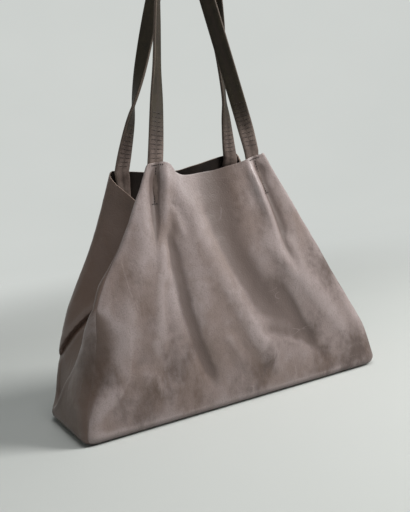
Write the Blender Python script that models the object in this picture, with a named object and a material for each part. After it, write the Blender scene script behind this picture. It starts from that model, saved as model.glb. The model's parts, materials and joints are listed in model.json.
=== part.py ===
"""Slouchy leather tote bag with two shoulder handles, standing on its base.

Metres, +Z up, +X to the bag's right as seen from the front, the front faces -Y.
The origin is the middle of the base, on the surface that the bag stands on.
"""

import bmesh
import bpy
import math
import numpy as np
from mathutils import Vector
from mathutils.bvhtree import BVHTree

for old in list(bpy.data.objects):
    bpy.data.objects.remove(old)

# Leather body

leather = 0.002
base_width = 0.468
base_depth = 0.162
base_roll = 0.012
front_height = 0.342
back_height = 0.336
front_top_half = 0.096
back_top_half = 0.111
front_mouth = 0.057
back_mouth = 0.044
front_belly = 0.0107
back_belly = 0.0134
edge_sag = 0.012
gusset_dip = 0.062
gusset_fold = 0.040
side_bulge = 0.005
seam_gap = 0.0003

# Tucks and hanging folds below the straps

tuck_depth = 0.0045
tuck_half_width = 0.011
tuck_spread = 0.010
fold_depth = 0.006
fold_half_width = 0.028

# Straps and handles

strap_width = 0.022
strap_thickness = 0.005
strap_edge_round = 0.0016
strap_end_length = 0.055
strap_end_gap = 0.0005
front_root = 0.074
back_root = 0.088
handle_drop = 0.300
front_grip_radius = 0.028
back_grip_radius = 0.044
front_lean = 0.014
back_lean = 0.040
root_bend = 0.030

# Stitching

thread = 0.0008
thread_gap = 0.0004
tuck_stitch_length = 0.046
tuck_stitch_start = 0.006
bar_tack_width = 0.008
cross_run_width = 0.018
cross_run_drop = 0.0035
seam_stitch_start = 0.008
seam_stitch_length = 0.060
seam_stitch_width = 0.010
seam_stitch_count = 11

# Shares, read upwards from the base or across from the left

front_taper_share = ((0, 0), (0.15, 0.08), (0.29, 0.24), (0.43, 0.40), (0.58, 0.55), (0.75, 0.73), (1, 1))
back_taper_share = ((0, 0), (0.15, 0.08), (0.29, 0.19), (0.43, 0.33), (0.58, 0.52), (0.75, 0.74), (1, 1))
depth_share = ((0, 0), (0.5, 0.35), (1, 1))
fold_in_share = ((0, 0), (0.2, 0), (0.4, 0.15), (0.55, 0.5), (0.7, 0.9), (0.85, 1), (1, 0.7))
bulge_share = ((0, 0), (0.25, 0.6), (0.5, 1), (0.8, 0.6), (1, 0))
edge_share = ((-1, 0), (-0.68, 0), (-0.5, 0.8), (-0.2, 1), (0.2, 0.8), (0.5, 0.5), (0.72, 0), (1, 0))
soft_flat_share = 0.05
soft_side_share = 0.12
strapped_share = 0.22
fold_rise_share = 0.15
twist_share = ((0, 0), (0.25, 0.12), (0.5, 0.30), (0.7, 0.42), (0.85, 0.7), (1, 1))
back_left_twist_share = ((0, 0), (0.15, 0.25), (0.33, 0.7), (0.6, 1), (1, 1))
back_right_twist_share = ((0, 0), (0.2, 0.35), (0.4, 0.85), (0.6, 1), (1, 1))

# Hanging folds on the flat panels: across and up shares of two ends, then depth, inwards below zero
fold_shares = (
    ((-0.60, 0.86), (-0.30, 0.25), -1.0),
    ((-0.78, 0.72), (-0.68, 0.10), -0.5),
    ((0.52, 0.98), (0.30, 0.35), -1.1),
    ((0.66, 0.80), (0.52, 0.25), 0.6),
    ((-0.12, 0.75), (-0.02, 0.20), 0.7),
)

quarter_turn = math.pi / 2
front_panel_side, right_side, back_panel_side, left_side = range(4)
step = 0.001


def named_material(name, colour, roughness):
    material = bpy.data.materials.new(name)
    material.use_nodes = True
    shader = material.node_tree.nodes["Principled BSDF"]
    shader.inputs["Base Color"].default_value = (*colour, 1)
    shader.inputs["Roughness"].default_value = roughness
    shader.inputs["Metallic"].default_value = 0
    material.diffuse_color = (*colour, 1)
    return material


taupe = (0.24, 0.19, 0.17)
dark_taupe = (0.10, 0.08, 0.065)
thread_brown = (0.05, 0.035, 0.03)

bag = bpy.data.collections.new("leather_tote_bag")
bpy.context.scene.collection.children.link(bag)


def place(piece, material):
    piece.data.materials.append(material)
    bag.objects.link(piece)
    return piece


def table(x, rows):
    """A smooth curve through the rows, which never swings past them."""
    places = np.array([row[0] for row in rows], float)
    values = np.array([row[1] for row in rows], float)
    x = np.clip(x, places[0], places[-1])
    steps = np.diff(values) / np.diff(places)
    before, after = steps[:-1], steps[1:]
    same_way = before * after > 0
    total = np.where(same_way, before + after, 1)
    inner = np.where(same_way, 2 * before * after / total, 0)
    slopes = np.concatenate([steps[:1], inner, steps[-1:]])
    n = np.clip(np.searchsorted(places, x, side="right") - 1, 0, len(rows) - 2)
    span = places[n + 1] - places[n]
    k = (x - places[n]) / span
    rise = 3 * k**2 - 2 * k**3
    lead = (k - 2 * k**2 + k**3) * span * slopes[n]
    trail = (k**3 - k**2) * span * slopes[n + 1]
    return values[n] + rise * (values[n + 1] - values[n]) + lead + trail


def closed_loft(name, sections, material, origin=(0, 0, 0)):
    """One closed solid through unlike closed sections, each listed out along one skin and back."""
    sections = np.asarray(sections) - np.asarray(origin)
    mesh_edit = bmesh.new()
    loops = [[mesh_edit.verts.new(point) for point in section] for section in sections]
    count = len(loops[0])
    for lower, upper in zip(loops, loops[1:]):
        for n in range(count):
            m = (n + 1) % count
            mesh_edit.faces.new((lower[n], lower[m], upper[m], upper[n]))
    for loop in (loops[0], loops[-1]):
        for n in range(count // 2 - 1):
            mesh_edit.faces.new((loop[n], loop[n + 1], loop[count - 2 - n], loop[count - 1 - n]))
    bmesh.ops.recalc_face_normals(mesh_edit, faces=mesh_edit.faces)
    mesh = bpy.data.meshes.new(name)
    mesh_edit.to_mesh(mesh)
    mesh_edit.free()
    piece = bpy.data.objects.new(name, mesh)
    piece.location = origin
    return place(piece, material)


# The body's outer skin


def mouth_corner(back, up):
    """The right-hand corner edge of the front or the back panel, at a share of the way up."""
    half, mouth, height, taper = (
        (back_top_half, back_mouth, back_height, back_taper_share)
        if back
        else (front_top_half, front_mouth, front_height, front_taper_share)
    )
    x = base_width / 2 + (half - base_width / 2) * table(up, taper)
    y = base_depth / 2 + (mouth - base_depth / 2) * table(up, depth_share)
    z = base_roll + up * (height - base_roll)
    return np.stack([x, y if back else -y, z], -1)


def ridge(distance, half_width):
    return np.exp(-((distance / half_width) ** 2))


def hanging_folds(across, up, width, height, root):
    """How far the flat panel's folds and tucks stand out."""
    x = across * width
    z = up * height
    out = np.zeros_like(x)
    for (a0, u0), (a1, u1), share in fold_shares:
        k = np.clip((up - u0) / (u1 - u0), 0, 1)
        middle = a0 + (a1 - a0) * k
        inside = np.clip((up - u1) / (u0 - u1), 0, 1)
        fade = np.sin(np.pi * np.clip(inside * 0.9 + 0.05, 0, 1)) ** 0.7
        spread = fold_half_width * (1.25 - 0.5 * inside)
        out = out + fold_depth * share * fade * ridge(x - middle * width, spread)
    drop = height - z
    fade = np.exp(-((drop / (2 * tuck_stitch_length)) ** 2))
    line = root + tuck_spread * drop / tuck_stitch_length
    for side in (-1, 1):
        inner = line - tuck_half_width * 0.8
        out = out - tuck_depth * fade * ridge(side * x - inner, tuck_half_width * 0.7)
    return out * np.clip(up / fold_rise_share, 0, 1)


def flat_panel(back, across, up):
    corner = mouth_corner(back, up)
    side = 1 if back else -1
    height = back_height if back else front_height
    root = back_root if back else front_root
    belly = back_belly if back else front_belly
    round_out = belly * np.sin(np.pi * np.clip(up, 0, 1) ** 0.8) * (1 - across**2)
    folds = hanging_folds(across, up, corner[..., 0], height, root)
    top = height - edge_sag * table(across, edge_share)
    x = across * corner[..., 0]
    y = corner[..., 1] + side * (round_out + folds * (1 - across**8))
    z = base_roll + up * (top - base_roll)
    return np.stack([x, y, z], -1)


def gusset_panel(along, up):
    """The right-hand gusset, from -1 at the front to 1 at the back."""
    front = mouth_corner(False, up)
    back = mouth_corner(True, up)
    point = front + (back - front) * ((along + 1) / 2)[..., None]
    valley = (1 - along**2) ** 1.4
    shoulder = np.clip(along**2 * (1 - along**4) * 2.2, 0, 1)
    point[..., 0] -= gusset_fold * table(up, fold_in_share) * valley
    point[..., 0] += side_bulge * table(up, bulge_share) * shoulder
    point[..., 2] -= up * gusset_dip * (1 - np.abs(along) ** 1.15)
    return point


def panel_point(side, share, up):
    if side == front_panel_side:
        return flat_panel(False, 2 * share - 1, up)
    if side == back_panel_side:
        return flat_panel(True, 1 - 2 * share, up)
    if side == right_side:
        return gusset_panel(2 * share - 1, up)
    point = gusset_panel(1 - 2 * share, up)
    point[..., 0] = -point[..., 0]
    return point


def soft_share(side):
    return soft_flat_share if side in (front_panel_side, back_panel_side) else soft_side_share


def corner_point(number, up):
    """Corner 0 is front left, and they run round by the front right."""
    point = mouth_corner(number in (2, 3), up)
    if number in (0, 3):
        point[..., 0] = -point[..., 0]
    return point


def wall_point(around, up):
    """The skin above the roll. Around runs 0 to 4: front, right, back, left."""
    around = np.asarray(around, float) % 4
    around, up = np.broadcast_arrays(around, np.asarray(up, float))
    point = np.zeros(around.shape + (3,))
    for side in range(4):
        on_side = np.floor(around).astype(int) == side
        if not on_side.any():
            continue
        share = around[on_side] - side
        level = up[on_side]
        piece = panel_point(side, share, level)
        soft = soft_share(side)
        for at_end in (False, True):
            away = 1 - share if at_end else share
            near = away < soft
            if not near.any():
                continue
            other = (side + 1) % 4 if at_end else (side - 1) % 4
            here = level[near]
            whole = np.ones_like(here)
            mine = panel_point(side, whole * (1 - soft if at_end else soft), here)
            far_share = soft_share(other) if at_end else 1 - soft_share(other)
            theirs = panel_point(other, whole * far_share, here)
            corner = corner_point((side + 1) % 4 if at_end else side, here)
            k = (0.5 + 0.5 * away[near] / soft)[..., None]
            piece[near] = (1 - k) ** 2 * theirs + 2 * k * (1 - k) * corner + k**2 * mine
        point[on_side] = piece
    return point


def unit(vectors):
    return vectors / np.linalg.norm(vectors, axis=-1, keepdims=True)


def outward_in_plan(around):
    along = wall_point(around + step, 0) - wall_point(around - step, 0)
    return unit(np.stack([along[..., 1], -along[..., 0], np.zeros_like(along[..., 0])], -1))


def skin(around, up, depth=0.0):
    """A point of the body, its depth measured inwards from the outer skin. Up is below 0 on the roll."""
    around, up = np.broadcast_arrays(np.asarray(around, float), np.asarray(up, float))
    level = np.clip(up, 0, 1)
    low = np.maximum(level - step, 0)
    high = np.minimum(level + step, 1)
    along = wall_point(around + step, level) - wall_point(around - step, level)
    rise = wall_point(around, high) - wall_point(around, low)
    normal = unit(np.cross(along, rise))
    point = wall_point(around, level)
    plan = outward_in_plan(around)
    turn = np.clip(-up, 0, 1)[..., None] * quarter_turn
    point = point - plan * base_roll * (1 - np.cos(turn))
    point[..., 2] -= (base_roll * np.sin(turn))[..., 0]
    down = np.array([0.0, 0.0, -1.0])
    rolled = np.cos(turn) * plan + np.sin(turn) * down
    mix = np.clip(-up / 0.25, 0, 1)[..., None]
    normal = unit(normal * (1 - mix) + rolled * mix)
    return point - normal * depth


# The five leather panels

roll_levels = np.linspace(-1, 0, 5)[:-1]
wall_levels = np.linspace(0, 1, 19)
levels = np.concatenate([roll_levels, wall_levels])


def seam_inset(seam, level, inwards):
    """The share that stands for half the seam gap at this level."""
    near = skin(seam + inwards * step, level)
    return inwards * step * (seam_gap / 2) / np.linalg.norm(near - skin(seam, level))


def panel_shares(side):
    """Columns across a panel, closer together at its soft corners and under the straps."""
    soft = soft_share(side)
    if side in (front_panel_side, back_panel_side):
        knots = (0, soft, strapped_share, 0.5)
        counts = (3, 8, 6)
    else:
        knots = (0, soft, 0.5)
        counts = (3, 5)
    half = [np.linspace(a, b, n + 1)[:-1] for a, b, n in zip(knots, knots[1:], counts)]
    half = np.concatenate(half)
    return np.concatenate([half, [0.5], 1 - half[::-1]])


def leather_panel(name, side, material):
    shares = panel_shares(side)
    sections = []
    for level in levels:
        first = side + seam_inset(side, level, 1)
        last = side + 1 + seam_inset(side + 1, level, -1)
        around = first + (last - first) * shares
        outside = skin(around, level)
        inside = skin(around, level, leather)
        sections.append(np.concatenate([outside, inside[::-1]]))
    return closed_loft(name, sections, material)


front = leather_panel("front_panel", front_panel_side, named_material("front_leather", taupe, 0.5))
rear = leather_panel("back_panel", back_panel_side, named_material("back_leather", taupe, 0.5))
leather_panel("left_gusset", left_side, named_material("left_gusset_leather", taupe, 0.55))
leather_panel("right_gusset", right_side, named_material("right_gusset_leather", taupe, 0.55))


def surface_of(piece):
    corners = [vertex.co.copy() for vertex in piece.data.vertices]
    return BVHTree.FromPolygons(corners, [list(face.vertices) for face in piece.data.polygons])


surfaces = {False: surface_of(front), True: surface_of(rear)}


def seated(back, points, gap):
    """The points, brought to this gap from the panel's real faces."""
    spots = []
    for point in points:
        spot, normal, face, distance = surfaces[back].find_nearest(Vector(point))
        spots.append(np.array(spot + normal * gap))
    return np.array(spots)

rim = skin(np.linspace(0, 4, 73)[:-1], -1)
rim = rim - outward_in_plan(np.linspace(0, 4, 73)[:-1]) * seam_gap
base_edit = bmesh.new()
base_face = base_edit.faces.new([base_edit.verts.new((x, y, 0)) for x, y, z in rim])
grown = bmesh.ops.extrude_face_region(base_edit, geom=[base_face])
lifted = [item for item in grown["geom"] if isinstance(item, bmesh.types.BMVert)]
bmesh.ops.translate(base_edit, verts=lifted, vec=Vector((0, 0, leather)))
bmesh.ops.recalc_face_normals(base_edit, faces=base_edit.faces)
base_mesh = bpy.data.meshes.new("base_panel")
base_edit.to_mesh(base_mesh)
base_edit.free()
place(bpy.data.objects.new("base_panel", base_mesh), named_material("base_leather", dark_taupe, 0.6))


# Strap ends sewn inside the panels


def around_at(back, x, up):
    """Where a place across the panel, in metres, lies around the body at this level."""
    across = x / mouth_corner(back, np.asarray(up, float))[..., 0]
    return 2 + (1 - across) / 2 if back else (across + 1) / 2


def level_below(back, drop):
    height = back_height if back else front_height
    return 1 - drop / (height - base_roll)


def tuck_line(back, side, drop):
    """The place across the panel where the tuck's stitch line runs."""
    root = back_root if back else front_root
    return side * (root + tuck_spread * drop / tuck_stitch_length)


def strap_end(name, back, side, material):
    root = back_root if back else front_root
    places = side * root + np.linspace(-strap_width / 2, strap_width / 2, 9)
    sections = []
    for drop in np.linspace(strap_end_length, seam_gap, 13):
        level = level_below(back, drop)
        around = around_at(back, places, np.full_like(places, level))
        near = seated(back, skin(around, level, leather + strap_end_gap), strap_end_gap)
        far = skin(around, level, leather + strap_end_gap + strap_thickness)
        sections.append(np.concatenate([near, far[::-1]]))
    return closed_loft(name, sections, material)


corner_names = (
    ("front_left", False, -1),
    ("front_right", False, 1),
    ("back_left", True, -1),
    ("back_right", True, 1),
)
for corner_name, back, side in corner_names:
    leather_of_end = named_material(corner_name + "_strap_end_leather", dark_taupe, 0.55)
    strap_end(corner_name + "_strap_end", back, side, leather_of_end)


# Handles


def root_place(back):
    """The hinge line: the top outer edge of the panel, where the strap bends over it."""
    root = back_root if back else front_root
    point = skin(around_at(back, root, 1.0), 1.0)
    return float(point[1]), float(point[2])


def handle_path(back):
    """The middle line of one handle, from the left root over the grip to the right root."""
    hinge_y, hinge_z = root_place(back)
    root = back_root if back else front_root
    radius = back_grip_radius if back else front_grip_radius
    lean = back_lean if back else front_lean
    out = 1 if back else -1
    start_y = hinge_y - out * (leather + strap_end_gap + strap_thickness / 2)
    grip_y = out * (strap_width / 2 + seam_gap)
    centre = np.array([lean, handle_drop - radius - strap_thickness / 2])
    legs = []
    for side in (-1, 1):
        foot = np.array([side * root, seam_gap])
        reach = centre - foot
        distance = np.hypot(*reach)
        turn = math.asin(radius / distance) * -side
        angle = math.atan2(reach[1], reach[0]) + turn
        leg = math.sqrt(distance**2 - radius**2)
        touch = foot + leg * np.array([math.cos(angle), math.sin(angle)])
        legs.append((foot, touch))
    left = np.linspace(0, 1, 19)[:, None]
    left_leg = legs[0][0] + (legs[0][1] - legs[0][0]) * left
    right_leg = legs[1][1] + (legs[1][0] - legs[1][1]) * left
    first = math.atan2(*(legs[0][1] - centre)[::-1])
    last = math.atan2(*(legs[1][1] - centre)[::-1])
    angles = np.linspace(first, last, 13)[1:-1, None]
    bend = centre + radius * np.concatenate([np.cos(angles), np.sin(angles)], 1)
    flat = np.concatenate([left_leg, bend, right_leg])
    share = flat[:, 1] / handle_drop
    soft = root_bend / handle_drop
    tilt = (np.sqrt(share**2 + soft**2) - soft) / (math.sqrt(1 + soft**2) - soft)
    y = start_y + (grip_y - start_y) * tilt
    return np.stack([flat[:, 0], y, hinge_z + flat[:, 1]], -1)


def handle_frames(back):
    """Each ring's middle, its width direction and the direction of its stitched face."""
    path = handle_path(back)
    tangent = np.gradient(path, axis=0)
    tangent = unit(tangent)
    height = path[:, 2] - root_place(back)[1]
    blend = np.clip((height - seam_gap) / root_bend, 0, 1)[:, None]
    climb = np.where(np.arange(len(path)) < len(path) / 2, 1.0, -1.0)[:, None]
    upright = climb * np.array([0.0, 0.0, 1.0])
    tangent = unit(upright * (1 - blend) + tangent * blend)
    length = np.concatenate([[0], np.cumsum(np.linalg.norm(np.diff(path, axis=0), axis=1))])
    middle = length[-1] / 2
    from_left = np.clip(length / middle, 0, 1)
    from_right = np.clip((length[-1] - length) / middle, 0, 1)
    left_rows = back_left_twist_share if back else twist_share
    right_rows = back_right_twist_share if back else twist_share
    left_half = length < middle
    turn = np.where(left_half, table(from_left, left_rows), table(from_right, right_rows)) * quarter_turn
    front = np.array([0.0, -1.0, 0.0])
    facing = unit(front - (tangent @ front)[:, None] * tangent)
    inwards = np.cross(facing, tangent)
    face = np.cos(turn)[:, None] * facing - np.sin(turn)[:, None] * inwards
    width = np.cross(tangent, face)
    return path, width, face


def strap_outline():
    """The folded strap's section: places across its width and through its thickness."""
    half = strap_width / 2
    deep = strap_thickness / 2
    cut = strap_edge_round
    across = np.array([-half, -half + cut, 0, half - cut, half])
    near = np.array([deep - cut, deep, deep, deep, deep - cut])
    return np.concatenate([across, across[::-1]]), np.concatenate([near, -near[::-1]])


def handle(name, back, material):
    path, width, face = handle_frames(back)
    across, through = strap_outline()
    sections = path[:, None] + width[:, None] * across[None, :, None] + face[:, None] * through[None, :, None]
    hinge_y, hinge_z = root_place(back)
    return closed_loft(name, sections, material, (0, hinge_y, hinge_z))


handle("front_handle", False, named_material("front_handle_leather", dark_taupe, 0.5))
handle("back_handle", True, named_material("back_handle_leather", dark_taupe, 0.5))


# Stitching


def thread_run(name, points, origin=(0, 0, 0)):
    curve = bpy.data.curves.new(name, "CURVE")
    curve.dimensions = "3D"
    curve.bevel_depth = thread / 2
    curve.bevel_resolution = 0
    curve.use_fill_caps = True
    run = curve.splines.new("POLY")
    run.points.add(len(points) - 1)
    for point, spot in zip(run.points, points):
        point.co = (*(np.asarray(spot) - np.asarray(origin)), 1)
    piece = bpy.data.objects.new(name, curve)
    piece.location = origin
    return place(piece, named_material(name + "_thread", thread_brown, 0.8))


def stitched_places(back, places, drops):
    up = level_below(back, drops)
    return seated(back, skin(around_at(back, places, up), up, -thread), thread_gap + thread / 2)


for corner_name, back, side in corner_names:
    drops = np.linspace(tuck_stitch_start, tuck_stitch_length, 10)
    thread_run(corner_name + "_tuck_stitching", stitched_places(back, tuck_line(back, side, drops), drops))
    low = tuck_stitch_length + thread + seam_gap
    tack = tuck_line(back, side, low) + np.linspace(-bar_tack_width / 2, bar_tack_width / 2, 5)
    thread_run(corner_name + "_bar_tack", stitched_places(back, tack, np.full(5, low)))
    root = side * (back_root if back else front_root)
    cross = root + np.linspace(-cross_run_width / 2, cross_run_width / 2, 9)
    thread_run(corner_name + "_cross_stitching", stitched_places(back, cross, np.full(9, cross_run_drop)))


def seam_stitching(name, back, side):
    """Thread that zigzags over the line where the strap's two folded edges meet."""
    path, width, face = handle_frames(back)
    if side > 0:
        path, width, face = path[::-1], width[::-1], face[::-1]
    length = np.concatenate([[0], np.cumsum(np.linalg.norm(np.diff(path, axis=0), axis=1))])
    count = 2 * seam_stitch_count + 1
    along = np.linspace(seam_stitch_start, seam_stitch_start + seam_stitch_length, count)
    away = np.tile([-seam_stitch_width / 2, seam_stitch_width / 2], count)[:count, None]

    def read(values):
        return np.stack([np.interp(along, length, values[:, n]) for n in range(3)], -1)

    lift = strap_thickness / 2 + thread_gap + thread / 2
    points = read(path) + unit(read(width)) * away + unit(read(face)) * lift
    hinge_y, hinge_z = root_place(back)
    return thread_run(name, points, (0, hinge_y, hinge_z))


seam_stitching("front_handle_left_seam_stitching", False, -1)
seam_stitching("front_handle_right_seam_stitching", False, 1)
seam_stitching("back_handle_left_seam_stitching", True, -1)
seam_stitching("back_handle_right_seam_stitching", True, 1)

for back in (False, True):
    hinge_y, hinge_z = root_place(back)
    print("back" if back else "front", "handle hinge line at y", round(hinge_y, 5), "z", round(hinge_z, 5))
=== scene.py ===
"""The leather tote bag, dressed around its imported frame."""

import bmesh
import bpy
import json
import math
import numpy as np
from mathutils import Matrix, Vector, noise


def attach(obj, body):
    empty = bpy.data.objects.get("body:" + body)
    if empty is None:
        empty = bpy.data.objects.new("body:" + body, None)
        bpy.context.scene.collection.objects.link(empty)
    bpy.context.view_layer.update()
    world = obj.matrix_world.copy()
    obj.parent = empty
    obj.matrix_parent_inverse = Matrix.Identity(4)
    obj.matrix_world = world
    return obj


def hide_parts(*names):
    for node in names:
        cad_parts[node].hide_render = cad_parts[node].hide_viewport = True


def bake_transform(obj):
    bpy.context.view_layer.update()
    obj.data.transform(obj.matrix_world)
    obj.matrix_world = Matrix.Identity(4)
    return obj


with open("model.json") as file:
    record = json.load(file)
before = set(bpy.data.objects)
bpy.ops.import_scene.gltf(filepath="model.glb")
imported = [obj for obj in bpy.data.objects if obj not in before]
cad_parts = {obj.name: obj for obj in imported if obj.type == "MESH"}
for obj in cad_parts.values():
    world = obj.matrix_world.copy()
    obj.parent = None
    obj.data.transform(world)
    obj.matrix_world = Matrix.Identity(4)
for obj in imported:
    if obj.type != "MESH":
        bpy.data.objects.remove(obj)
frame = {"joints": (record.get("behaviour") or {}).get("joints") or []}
hinges = {joint["name"]: joint["pos_m"] for joint in frame["joints"]}
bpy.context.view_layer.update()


# Camera and lamps

sensor_width = 36
focal_length = 55.72
camera_place = Vector((-0.49034, -1.02235, 0.36366))
view_right = Vector((0.884016, -0.449757, -0.127417))
view_up = Vector((0.17733, 0.070453, 0.981626))
view_back = Vector((-0.432517, -0.890368, 0.142037))

camera = bpy.data.objects.new("camera", bpy.data.cameras.new("camera"))
camera.data.sensor_width = sensor_width
camera.data.lens = focal_length
turned = Matrix((view_right, view_up, view_back)).transposed().to_4x4()
camera.matrix_world = Matrix.Translation(camera_place) @ turned
bpy.context.collection.objects.link(camera)
bpy.context.scene.camera = camera
bpy.context.scene.view_settings.view_transform = "Standard"


def soft_lamp(name, place, aim, size, power, colour):
    lamp = bpy.data.lights.new(name, "AREA")
    lamp.shape = "DISK"
    lamp.size = size
    lamp.energy = power
    lamp.color = colour
    stand = bpy.data.objects.new(name, lamp)
    stand.location = place
    stand.rotation_euler = (Vector(aim) - Vector(place)).to_track_quat("-Z", "Y").to_euler()
    bpy.context.collection.objects.link(stand)


warm_white = (1.0, 0.985, 0.97)
plain_white = (1.0, 1.0, 1.0)
cool_white = (0.94, 0.97, 1.0)
soft_lamp("window_light", (1.7, -1.15, 1.55), (0, 0, 0.22), size=1.0, power=62, colour=warm_white)
soft_lamp("ceiling_light", (0.1, -0.5, 2.2), (0, 0, 0.2), size=1.2, power=16, colour=plain_white)
soft_lamp("room_light", (-1.5, -1.4, 0.9), (0, 0, 0.2), size=1.6, power=1.0, colour=cool_white)


# Materials


class Reading:
    """A number that varies over a surface, so that sums on it are written as sums."""

    def __init__(self, finish, socket):
        self.finish = finish
        self.socket = socket

    def work_out(self, operation, first, second):
        return self.finish.node("ShaderNodeMath", {"operation": operation}, {0: first, 1: second})

    def __add__(self, other):
        return self.work_out("ADD", self, other)

    __radd__ = __add__

    def __sub__(self, other):
        return self.work_out("SUBTRACT", self, other)

    def __rsub__(self, other):
        return self.work_out("SUBTRACT", other, self)

    def __mul__(self, other):
        return self.work_out("MULTIPLY", self, other)

    __rmul__ = __mul__

    def __abs__(self):
        return self.work_out("ABSOLUTE", self, 0.0)

    def between(self, low, high):
        """0 below low and 1 above high, smooth between them."""
        settings = {"interpolation_type": "SMOOTHSTEP"}
        return self.finish.node("ShaderNodeMapRange", settings, {0: self, 1: low, 2: high})


class Finish:
    """One material under construction."""

    def __init__(self, name):
        self.material = bpy.data.materials.new(name)
        self.material.use_nodes = True
        self.tree = self.material.node_tree
        self.tree.nodes.clear()
        self.place = self.node("ShaderNodeTexCoord", output="Object")

    def node(self, kind, settings=None, inputs=None, output=0):
        made = self.tree.nodes.new(kind)
        for name, value in (settings or {}).items():
            setattr(made, name, value)
        for name, value in (inputs or {}).items():
            if isinstance(value, Reading):
                self.tree.links.new(value.socket, made.inputs[name])
            else:
                made.inputs[name].default_value = value
        return Reading(self, made.outputs[output])

    def stretched(self, scale, turn=(0, 0, 0), shift=(0, 0, 0)):
        inputs = {"Vector": self.place, "Scale": scale, "Rotation": turn, "Location": shift}
        return self.node("ShaderNodeMapping", None, inputs)

    def cloud(self, scale, detail=4.0, roughness=0.55, place=None, distortion=0.0):
        inputs = {"Vector": place or self.place, "Scale": scale, "Detail": detail}
        inputs["Roughness"] = roughness
        inputs["Distortion"] = distortion
        return self.node("ShaderNodeTexNoise", None, inputs)

    def cells(self, scale, feature="F1", place=None):
        inputs = {"Vector": place or self.place, "Scale": scale}
        return self.node("ShaderNodeTexVoronoi", {"feature": feature}, inputs)

    def attribute(self, name):
        return self.node("ShaderNodeAttribute", {"attribute_name": name}, None, "Fac")

    def mix(self, share, first, second):
        inputs = {0: share, 6: first, 7: second}
        return self.node("ShaderNodeMix", {"data_type": "RGBA"}, inputs, 2)

    def bump(self, height, distance, strength=1.0, normal=None):
        inputs = {"Height": height, "Distance": distance, "Strength": strength}
        if normal:
            inputs["Normal"] = normal
        return self.node("ShaderNodeBump", None, inputs)

    def coat(self, colour, roughness, normal=None, **constants):
        inputs = {"Base Color": colour, "Roughness": roughness}
        if normal:
            inputs["Normal"] = normal
        for name, value in constants.items():
            inputs[name.replace("_", " ")] = value
        self.show(self.node("ShaderNodeBsdfPrincipled", None, inputs))
        return self.material

    def show(self, shader):
        end = self.tree.nodes.new("ShaderNodeOutputMaterial")
        self.tree.links.new(shader.socket, end.inputs["Surface"])


def shade(red, green, blue):
    """A colour as the eye reads it on a screen, from 0 to 255, made linear."""
    return tuple(((c / 255 + 0.055) / 1.055) ** 2.4 for c in (red, green, blue)) + (1.0,)


# Painted shade for leather turned from the light
painted_shade_brown = shade(90, 67, 53)
stain_brown = shade(116, 96, 85)
# Painted shade for the bottom roll
painted_roll_shade = shade(70, 61, 58)


def waxed_leather(name, pale, middle, deep, roughness=0.47):
    """Pull-up leather: paler where it is creased or rubbed and darker in its hollows, both partly painted
    highlight and shade.
    """
    finish = Finish(name)
    hanging = finish.stretched((1.0, 1.0, 0.5), (0, 0.35, 0), (2.83, 0.0, 1.29))
    drift = finish.cloud(6.0, 3.0, 0.6, hanging, 0.2)
    patches = finish.cloud(24.0, 5.0, 0.65, hanging, 0.3)
    mottle = finish.cloud(90.0, 4.0, 0.6)
    tone = drift * 0.45 + patches * 0.4 + mottle * 0.15
    colour = finish.mix(tone.between(0.36, 0.52), deep, middle)
    colour = finish.mix(tone.between(0.50, 0.68) * 0.75, colour, pale)
    stained = finish.stretched((1.0, 1.0, 0.55), (0, 0.2, 0), (5.1, 0.0, 2.3))
    stain = finish.cloud(13.0, 4.0, 0.6, stained, 0.3)
    colour = finish.mix(stain.between(0.44, 0.62) * 0.45, colour, stain_brown)
    raised = finish.attribute("raised")
    # Darker where the leather sinks below its surroundings: partly patina in its hollows, partly painted
    # shade
    colour = finish.mix((0.5 - raised).between(0.02, 0.5) * 0.85, colour, deep)
    # Paler on crests and rubbed places: partly wear, partly painted highlight
    rubbed_and_highlit = (raised - 0.5).between(0.03, 0.5) * patches.between(0.3, 0.6)
    colour = finish.mix(rubbed_and_highlit * 0.6, colour, pale)
    # Painted shade where the leather is turned from the light
    sheltered = finish.attribute("sheltered") * (0.5 + patches * 0.5)
    colour = finish.mix(sheltered, colour, painted_shade_brown)
    downward = finish.stretched((1.0, 1.0, 0.45), (0.3, 0.2, 0.5))
    hair = abs(finish.cloud(8.0, 2.0, 0.5, downward) - 0.5)
    hair_place = finish.cloud(13.0, 2.0).between(0.56, 0.66)
    scratch = (1 - hair.between(0.0005, 0.0035)) * hair_place
    slanting = finish.stretched((0.5, 1.0, 1.6), (0.9, 0.1, 0.2))
    nick = abs(finish.cloud(26.0, 1.0, 0.5, slanting) - 0.52)
    nick_place = finish.cloud(31.0, 1.0).between(0.62, 0.7)
    scratch = scratch + (1 - nick.between(0.001, 0.006)) * nick_place
    colour = finish.mix(scratch * 0.25, colour, pale)
    # Painted shade on the bottom roll, greyer towards the underside
    foot = finish.attribute("foot") * (0.5 + patches * 0.6)
    colour = finish.mix(foot * 0.85, colour, painted_roll_shade)
    pores = finish.cells(560.0, "F1")
    fine = finish.cloud(900.0, 3.0, 0.7)
    creases = finish.cells(150.0, "DISTANCE_TO_EDGE", finish.stretched((1.0, 1.0, 0.6)))
    wrinkle = finish.cloud(70.0, 5.0, 0.65, None, 1.2)
    colour = finish.mix(pores.between(0.5, 0.9) * 0.22, colour, deep)
    rough = roughness + (mottle - 0.5) * 0.16 - rubbed_and_highlit * 0.1 + scratch * 0.06
    normal = finish.bump(wrinkle, 0.0005, 0.35)
    normal = finish.bump(creases.between(0.0, 0.12), 0.00018, 0.28, normal)
    normal = finish.bump(pores * -1.0 + fine * 0.6, 0.00026, 0.44, normal)
    return finish.coat(colour, rough, normal, Specular_IOR_Level=0.42)


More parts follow.
